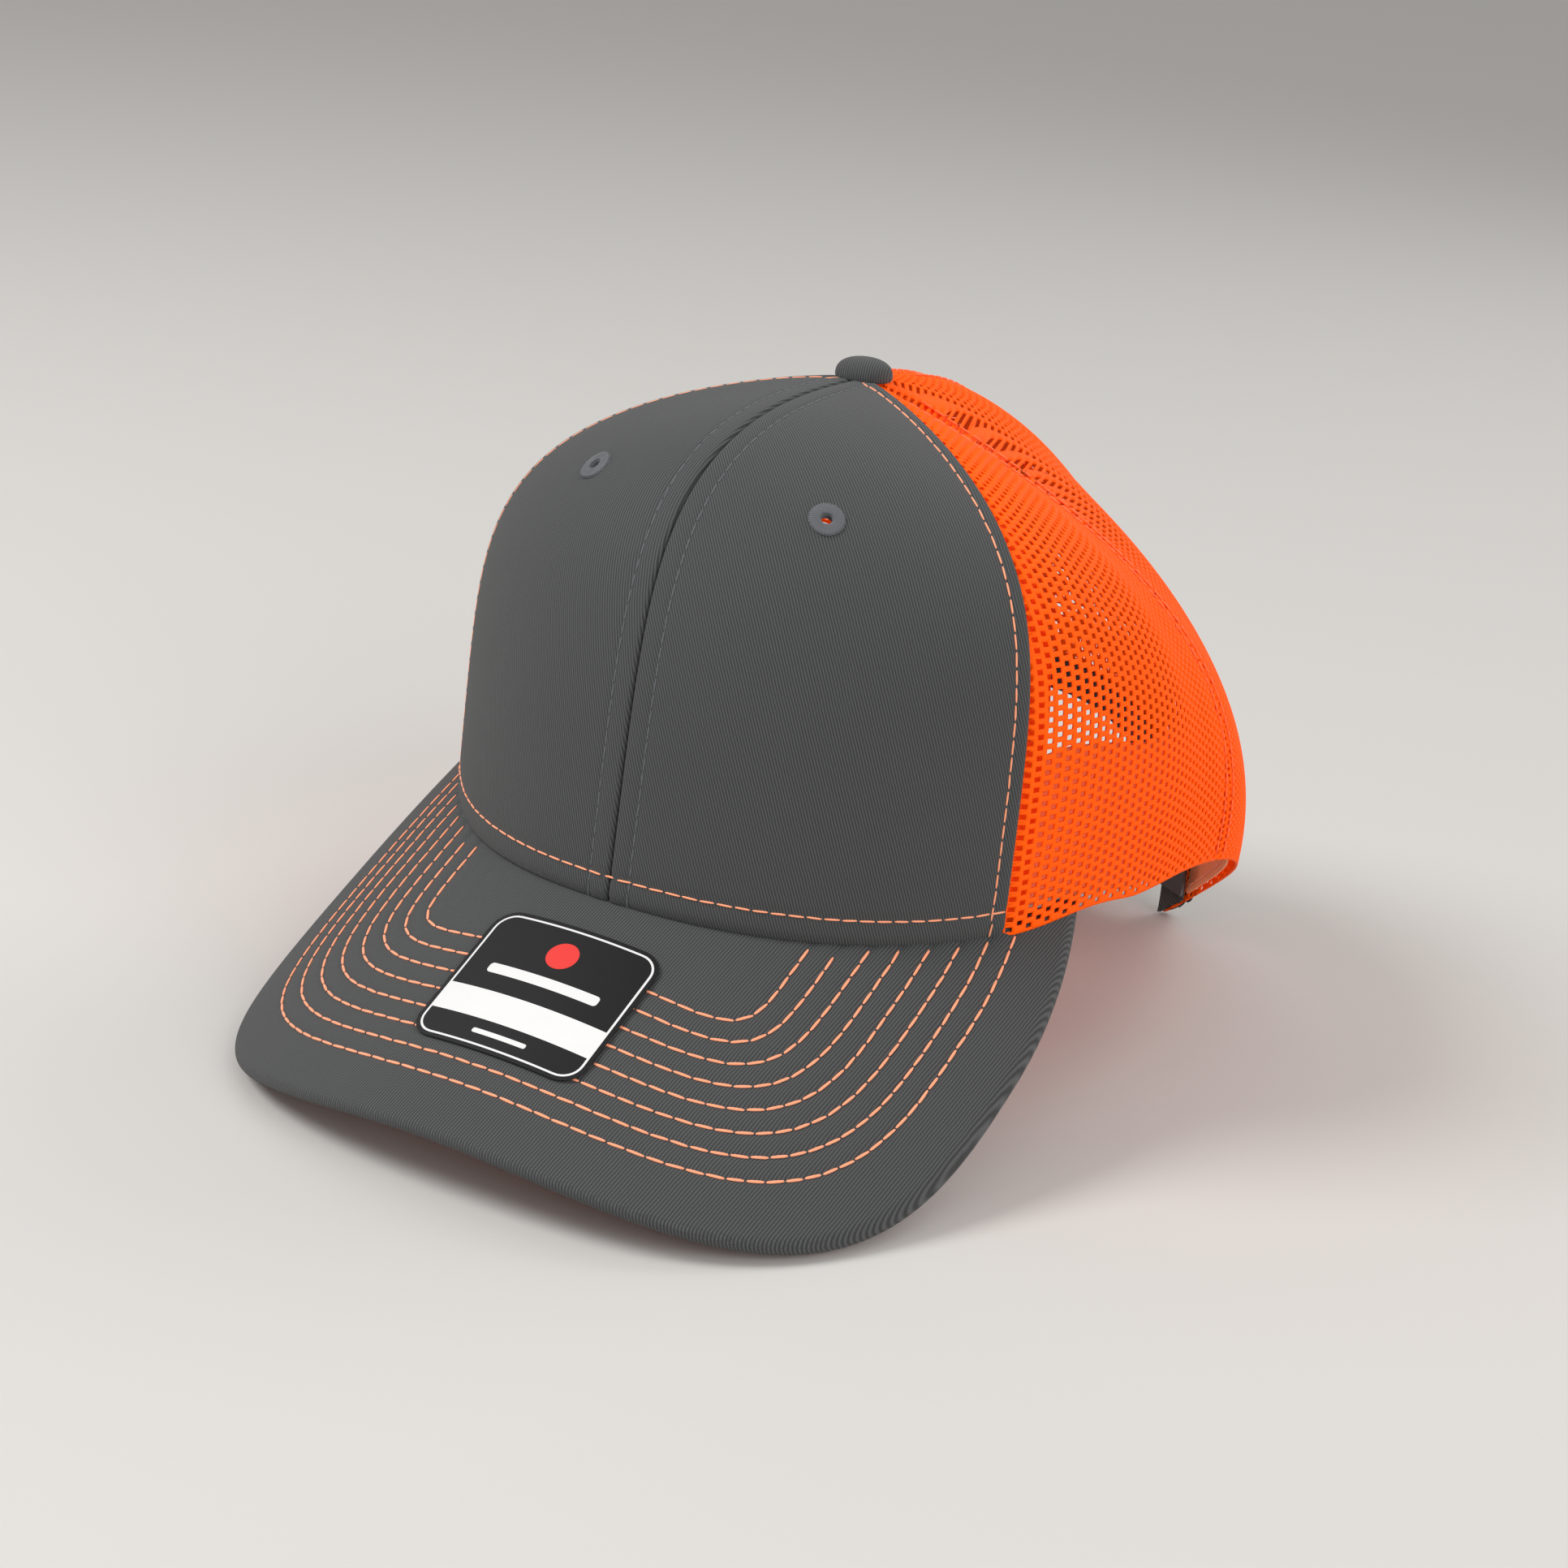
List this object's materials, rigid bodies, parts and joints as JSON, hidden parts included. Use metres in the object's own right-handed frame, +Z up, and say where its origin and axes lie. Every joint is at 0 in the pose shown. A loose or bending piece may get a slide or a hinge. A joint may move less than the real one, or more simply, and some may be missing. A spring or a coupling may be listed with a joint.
{
  "type": "trucker mesh cap",
  "caption": "Adjustable trucker cap: stiff twill front, mesh sides and back, curved stitched visor, sweatband and snap adjuster.",
  "frame": {"origin": "on the table, under the widest line of the head opening, on the cap's middle plane", "axes": "+Z up; the visor points to -Y; +X is the wearer's left"},
  "size_m": [0.157, 0.2496, 0.1408],
  "materials": {
    "twill": "dyed cotton twill, matt",
    "mesh": "knitted polyester mesh",
    "backing": "stiffened open-weave buckram",
    "tape": "woven seam tape",
    "contrast_thread": "polyester thread",
    "tonal_thread": "polyester thread",
    "metal": "plated",
    "board": "flexible sheet",
    "sticker": "glossy film",
    "band": "cotton band",
    "foam": "thin foam",
    "strap": "moulded, matt"
  },
  "bodies": {
    "cap": {"front_panel_left": "twill", "front_panel_right": "twill", "front_backing_left": "backing", "front_backing_right": "backing", "side_mesh_left": "mesh", "side_mesh_right": "mesh", "rear_mesh_left": "mesh", "rear_mesh_right": "mesh", "centre_seam_tape": "tape", "front_seam_tape_left": "tape", "front_seam_tape_right": "tape", "side_seam_tape_left": "tape", "side_seam_tape_right": "tape", "rear_seam_tape": "tape", "centre_topstitch": "tonal_thread", "side_topstitch": "contrast_thread", "base_topstitch": "contrast_thread", "eyelet_left": "tonal_thread", "eyelet_right": "tonal_thread", "button_cover": "twill", "button_shell": "metal", "button_washer": "metal", "visor_board": "board", "visor_top_cover": "twill", "visor_under_cover": "twill", "visor_stitching": "contrast_thread", "visor_sticker": "sticker", "sweatband": "band", "sweatband_pad": "foam", "arch_binding": "twill", "hole_strap_root": "strap", "peg_strap_root": "strap"},
    "hole_strap_end": {"hole_strap": "strap"},
    "peg_strap_end": {"peg_strap": "strap"}
  },
  "joints": [
    {"name": "hole_strap_swing", "type": "hinge", "parent": "cap", "child": "hole_strap_end", "pos_m": [0.0347, 0.09392, 0.01918], "axis": [0, 0, -1], "range_deg": [0, 65]},
    {"name": "peg_strap_swing", "type": "hinge", "parent": "cap", "child": "peg_strap_end", "pos_m": [-0.03396, 0.09228, 0.01918], "axis": [0, 0, -1], "range_deg": [0, 30]}
  ]
}
